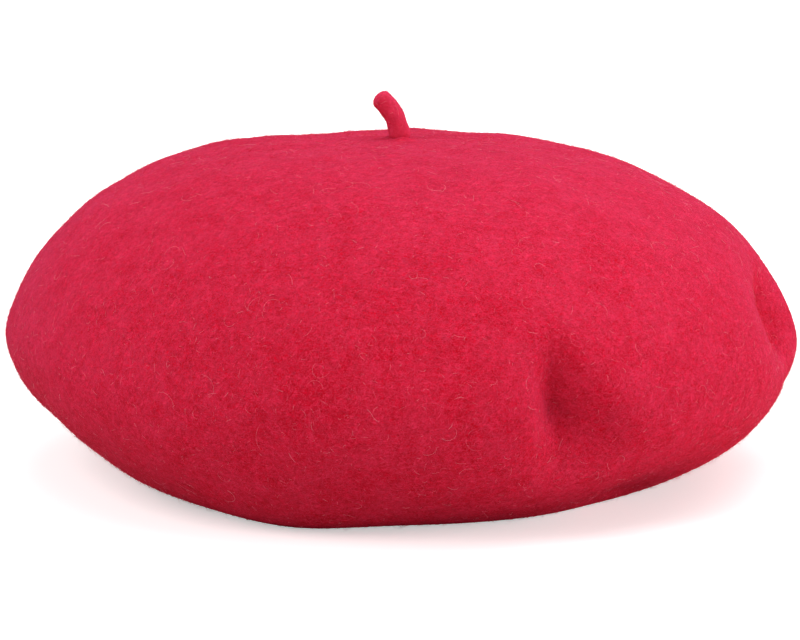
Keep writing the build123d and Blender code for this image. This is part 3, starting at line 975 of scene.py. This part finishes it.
def band_section(folded):
    """The leather's outline as (r, z), with the fold or, in the notch, without it."""
    inner = FOLD_RADIUS - LEATHER_THICKNESS
    foot_z = BAND_BOTTOM + EDGE_ROUND
    wall = [(OPENING, z) for z in np.linspace(foot_z, FOLD_HEIGHT, 14)[:-1]]
    back = [(OPENING + LEATHER_THICKNESS, z) for z in np.linspace(FOLD_HEIGHT, foot_z, 14)[1:]]
    foot = [(OPENING + 0.95 * MM, BAND_BOTTOM), (OPENING + 0.25 * MM, BAND_BOTTOM)]
    if folded:
        out_r, in_r = FOLD_CENTRE + FOLD_RADIUS, FOLD_CENTRE + inner
        leg = [(out_r, FOLD_BOTTOM + EDGE_ROUND), (out_r - EDGE_ROUND, FOLD_BOTTOM),
               (in_r + EDGE_ROUND, FOLD_BOTTOM), (in_r, FOLD_BOTTOM + EDGE_ROUND)]
        top = fold_arc(FOLD_RADIUS, 180, 0, 16) + leg + fold_arc(inner, 0, 180, 12)
    else:
        top = fold_arc(FOLD_RADIUS, 180, 130, 5) + fold_arc(inner, 150, 180, 3)
    return np.array(wall + top + back + foot)


def band_part(section, start_deg, end_deg, columns):
    """Sweeps a section from one azimuth to another, waving a little, and closes its ends."""
    azimuth = np.radians(np.linspace(start_deg, end_deg, columns))[:, None]
    height = np.clip((section[:, 1] - BAND_BOTTOM) / (BAND_TOP - BAND_BOTTOM), 0, 1)[None, :]
    wave = BAND_WAVE * height
    r = section[None, :, 0] + wave * (np.sin(7 * azimuth + 0.4) + 0.6 * np.sin(16 * azimuth + 2))
    z = section[None, :, 1] + 0.6 * wave * np.sin(11 * azimuth + 1)
    around = len(section)
    faces = grid_faces(columns, around, flip=True)
    faces += [tuple(range(around))[::-1], tuple(range(around * (columns - 1), around * columns))]
    return new_object("band_part", points_at(r, azimuth, z).reshape(-1, 3), faces, LEATHER)


def joined(name, parts):
    """Several objects' meshes in one object."""
    points, faces, start = [], [], 0
    for part in parts:
        points += [tuple(v.co) for v in part.data.vertices]
        faces += [tuple(start + v for v in polygon.vertices) for polygon in part.data.polygons]
        start += len(part.data.vertices)
    material = parts[0].data.materials[0]
    for part in parts:
        bpy.data.objects.remove(part)
    return new_object(name, points, faces, material)


def sweatband():
    """The folded band, and the plain wall on both sides of the join where the cord comes out."""
    folded, plain = band_section(True), band_section(False)
    parts = [
        band_part(folded, 180 + NOTCH_DEG, 540 - NOTCH_DEG, 420),
        band_part(plain, 180 + JOIN_DEG, 180 + NOTCH_DEG, 8),
        band_part(plain, 180 - NOTCH_DEG, 180 - JOIN_DEG, 8),
    ]
    soft(joined("sweatband_leather", parts), "sweatband", flattens=False)


JOIN_ROWS = 9
JOIN_SLOPE = 0.35
HEM_LOOPS = 144
HEM_THREAD = 0.26 * MM


def join_thread():
    """A zigzag of thread over the sweatband's join."""
    heights = np.linspace(BAND_BOTTOM + 1.5 * MM, FOLD_HEIGHT - 1.5 * MM, JOIN_ROWS)
    centres = [(0, OPENING - 0.05 * MM, z) for z in heights]
    along = [Vector((1, 0, JOIN_SLOPE if i % 2 else -JOIN_SLOPE)).normalized() for i in range(JOIN_ROWS)]
    out = [(0, 1, 0)] * JOIN_ROWS
    piece = stitches("join_thread", centres, along, out, 4.2 * MM, 0.28 * MM, DARK_THREAD)
    soft(piece, "band_join_stitches", flattens=False)


def hem_thread():
    """Loops of thread that whip the sweatband's foot to the felt."""
    loop_radius, loop_height = 1.35 * MM, 1.75 * MM
    advance = 0.8 * MM
    middle = (OPENING + LEATHER_THICKNESS + HEM_RADIUS) / 2
    turn = np.linspace(0, 2 * math.pi, 14, endpoint=False)[:, None]
    up = np.array([0, 0, 1])
    loops = []
    for a in np.linspace(0, 2 * math.pi, HEM_LOOPS, endpoint=False):
        out = np.array([math.sin(a), -math.cos(a), 0])
        side = np.array([math.cos(a), math.sin(a), 0])
        path = out * (middle + loop_radius * np.cos(turn)) + side * (advance * np.sin(turn / 2) ** 2)
        path = path + up * (loop_height + loop_radius * np.sin(turn))
        loops.append(tube("loop", path, lambda share, angle: HEM_THREAD, DARK_THREAD, 6, side, closed=True))
    soft(joined("hem_thread", loops), "hem_stitches", flattens=False)


sweatband()
join_thread()
hem_thread()


# ---- cord and bow

CORD_RADIUS = 0.95 * MM
CORD_TURNS = 150
BOW_STRAND = 0.85 * CORD_RADIUS
BOW_CENTRE = np.array([0, FOLD_CENTRE, 25.4 * MM])


def cord():
    """The cord round the fold, with its two ends rising to the bow."""
    exit_deg = math.degrees(math.asin(5 * MM / FOLD_CENTRE))
    azimuth = np.radians(np.linspace(180 + exit_deg, 540 - exit_deg, 300))
    ring = points_at(FOLD_CENTRE, azimuth, FOLD_HEIGHT)
    rise = [(-1.6 * MM, FOLD_CENTRE, cord_high[2]), (-1.9 * MM, FOLD_CENTRE, FOLD_HEIGHT + 1.6 * MM)]
    fall = [(-x, y, z) for x, y, z in rise[::-1]]
    path = smooth_path(rise + list(ring) + fall, 1500)
    lay = lambda share, angle: rope(share, angle, CORD_RADIUS, CORD_TURNS)
    piece = tube("drawcord_rope", path, lay, CORD, sides=10, reference=(0, 0, 1))
    soft(piece, "drawcord", flattens=False)


def bow_strand(points, turns):
    """One strand of the bow, through points in millimetres from its middle."""
    path = smooth_path(BOW_CENTRE + np.array(points) * MM, 90)
    lay = lambda share, angle: rope(share, angle, BOW_STRAND, turns) * round_ends(share, 0.03, 0.03)
    return tube("strand", path, lay, CORD, 12)


def bow():
    """A knot with two loops and two tails, in the plane of the band's back."""
    parts = []
    for side in (-1, 1):
        loop = [(0, 0, 1.2), (4 * side, -0.3, 2.9), (8.6 * side, -0.4, 3.0), (10.6 * side, 0, 1.6),
                (8.4 * side, 0.4, 0.2), (4 * side, 0.5, -0.1), (0, 0.3, -0.2)]
        tail = [(0, 0, -0.6), (3 * side, -0.2, -1.9), (7.5 * side, -0.1, -2.3), (11.8 * side, 0.1, -2.3)]
        parts += [bow_strand(loop, 7), bow_strand(tail, 4)]
    turn = np.linspace(0, 2 * math.pi, 40, endpoint=False)
    lay = lambda share, angle: rope(share, angle, BOW_STRAND, 3)
    for lean in (0.5, -0.5):
        wrap = np.stack([lean * np.cos(turn), 1.1 * np.cos(turn), 1.15 * np.sin(turn)], axis=1)
        parts.append(tube("wrap", BOW_CENTRE + wrap * MM, lay, CORD, 12, (1, 0, 0), closed=True))
    soft(joined("drawcord_bow_rope", parts), "drawcord_bow", body="bow", flattens=False)


cord()
bow()


# ---- labels: blank woven tape

LABEL_RADIUS = math.hypot(*joints["size_label_flip"]["pos_m"][:2])
LABEL_THICKNESS = 0.45 * MM
TAB_COLUMNS, TAB_ROWS = 28, 14
TIP_LABEL_COLUMNS = 47


def closed_sheet(name, front, back, material):
    """A sheet with thickness. Seen from in front, its rows go up and its columns to the right."""
    rows, columns = front.shape[:2]
    half = rows * columns
    faces = grid_faces(rows, columns, wrap_columns=False, flip=True)
    faces += grid_faces(rows, columns, wrap_columns=False, start=half)
    border = list(range(columns)) + [columns * r + columns - 1 for r in range(1, rows)]
    border += [half - 1 - c for c in range(1, columns)] + [columns * r for r in range(rows - 2, 0, -1)]
    for a, b in zip(border, border[1:] + border[:1]):
        faces.append((a, a + half, b + half, b))
    points = np.concatenate([front.reshape(-1, 3), back.reshape(-1, 3)])
    return new_object(name, points, faces, material)


def tape_tab(kind, width):
    """A label tab that stands on the band's fold and curves with it, with its top edge turned down."""
    spot = joints[f"{kind}_label_flip"]["pos_m"]
    middle = math.atan2(spot[0], -spot[1])
    low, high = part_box(f"{kind}_label")
    across = np.linspace(-width / 2, width / 2, TAB_COLUMNS)[None, :] / LABEL_RADIUS
    up = np.linspace(low[2], high[2], TAB_ROWS)[:, None]
    share = (up - low[2]) / (high[2] - low[2])
    bow_out = 0.25 * MM * np.sin(math.pi * share) + 0.15 * MM * np.sin(5 * across * LABEL_RADIUS / width + 1)
    hem_fold = 0.12 * MM * smooth_step((share - 0.82) / 0.04)
    half_thick = LABEL_THICKNESS / 2 + hem_fold
    faces = [points_at(LABEL_RADIUS + bow_out + sign * half_thick, middle + across, up) for sign in (1, -1)]
    piece = closed_sheet(f"{kind}_label_tape", *faces, TAPE)
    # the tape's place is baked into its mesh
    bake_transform(piece)
    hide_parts(f"{kind}_label")
    dress_node(f"{kind}_label_stitches", DARK_THREAD)


def tip_label_face(x, y):
    """Height of the tip label's upper face: it hangs from the lining and follows the crown's fall."""
    fall = 2.2 * MM * (np.hypot(x, y) / (40 * MM)) ** 2.6
    ripple = 0.15 * MM * np.sin(x / (7 * MM)) * np.cos(y / (6 * MM))
    return tip_surface[0, 0, 2] - 0.55 * MM - fall + ripple

def tip_label():
    """A blank label sewn flat under the lining's tip, with a hemmed and stitched edge."""
    half_x, half_y = tip_label_high[0], tip_label_high[1]
    share = np.linspace(-1, 1, TIP_LABEL_COLUMNS)
    x, y = np.meshgrid(share * half_x, share * half_y)
    top = tip_label_face(x, y)
    hem = np.maximum(np.abs(x) / half_x, np.abs(y) / half_y) > 0.9
    bottom = top - LABEL_THICKNESS * (1 + 0.4 * hem)
    piece = closed_sheet("tip_label_tape", np.stack([x, y, top], -1), np.stack([x, y, bottom], -1), TAPE)
    soft(piece, "tip_label")

    edge_x, edge_y = half_x - 2 * MM, half_y - 2 * MM
    run_x = np.linspace(-edge_x, edge_x, 16)[:-1] + 1.3 * MM
    run_y = np.linspace(-edge_y, edge_y, 10)[:-1] + 1.3 * MM
    spots = [(x, side * edge_y, (1, 0, 0)) for side in (-1, 1) for x in run_x]
    spots += [(side * edge_x, y, (0, 1, 0)) for side in (-1, 1) for y in run_y]
    centres = [(x, y, tip_label_face(x, y) - 1.05 * LABEL_THICKNESS) for x, y, _ in spots]
    ways = [way for _, _, way in spots]
    up = [(0, 0, 1)] * len(ways)
    piece = stitches("tip_label_thread", centres, ways, up, 1.8 * MM, 0.22 * MM, DARK_THREAD)
    soft(piece, "tip_label_stitches")


tape_tab("size", 14 * MM)
tape_tab("care", 18 * MM)
tip_label()


# ---- stage: pale floor, soft light and the camera


def stage_material():
    """Matt white paper that looks evenly lit, and throws little light back up at the beret."""
    material, tree = new_material("studio_floor")
    cloud = noise(tree, 0.4, detail=2)
    camera_ray = node(tree, "LightPath").outputs["Is Camera Ray"]
    seen = mix_colour(tree, cloud, (0.84, 0.84, 0.84), (0.88, 0.88, 0.88))
    away = node(tree, "VectorMath", {0: place(tree)}, operation="LENGTH").outputs["Value"]
    glow = times(tree, camera_ray, spread_out(tree, away, 0.15, 0.7, 0.5, 1.0))
    return with_surface(material, {
        "Base Color": mix_colour(tree, camera_ray, (0.75, 0.75, 0.75), seen),
        "Roughness": 0.9,
        "Specular IOR Level": 0.05,
        "Emission Color": (1, 1, 1, 1),
        "Emission Strength": glow,
    })


def add_floor():
    """A wide plain floor under the beret."""
    half = 6.0
    corners = [(-half, -half, 0), (half, -half, 0), (half, half, 0), (-half, half, 0)]
    new_object("studio_floor", corners, [(0, 1, 2, 3)], stage_material())


def add_softbox(name, spot, size, power):
    """A square area light that faces the beret."""
    light = bpy.data.lights.new(name, "AREA")
    light.size = size
    light.energy = power
    lamp = shown(name, light)
    lamp.location = spot
    lamp.rotation_euler = (Vector((0, 0, APEX / 2)) - Vector(spot)).to_track_quat("-Z", "Y").to_euler()


def add_world():
    """White surroundings, which look brighter than the light they shed."""
    world = bpy.data.worlds.new("studio")
    bpy.context.scene.world = world
    world.use_nodes = True
    tree = world.node_tree
    tree.nodes.clear()
    seen = node(tree, "Background", {"Color": (1, 1, 1, 1), "Strength": 1.0})
    shed = node(tree, "Background", {"Color": (1, 1, 1, 1), "Strength": 0.32})
    camera_ray = node(tree, "LightPath").outputs["Is Camera Ray"]
    mixed = node(tree, "MixShader", {0: camera_ray, 1: shed.outputs[0], 2: seen.outputs[0]})
    node(tree, "OutputWorld", {"Surface": mixed.outputs[0]})


CAMERA_DISTANCE = 1.0
CAMERA_ELEVATION = math.radians(10.5)
SEEN_WIDTH = 288.6 * MM
SENSOR_WIDTH = 36


def add_camera():
    """A long lens, a little above the rim, as a catalogue picture is taken."""
    camera = bpy.data.cameras.new("camera")
    camera.sensor_width = SENSOR_WIDTH
    camera.lens = SENSOR_WIDTH * CAMERA_DISTANCE / SEEN_WIDTH
    camera.shift_y = 0.0125
    holder = shown("camera", camera)
    back = Vector((0, -math.cos(CAMERA_ELEVATION), math.sin(CAMERA_ELEVATION)))
    holder.location = Vector((0, 0, RIM_HEIGHT)) + back * CAMERA_DISTANCE
    holder.rotation_euler = (-back).to_track_quat("-Z", "Y").to_euler()
    bpy.context.scene.camera = holder


add_floor()
add_world()
add_softbox("left", (-0.92, -0.70, 0.98), 0.8, 11.8)
add_softbox("top", (0.1, 0.0, 1.4), 1.2, 8.8)
add_softbox("right_back", (0.8, 0.4, 1.1), 0.9, 5.4)
add_softbox("right_low", (1.2, -0.35, 0.2), 0.7, 11.6)
add_camera()
bpy.context.scene.view_settings.view_transform = "Standard"
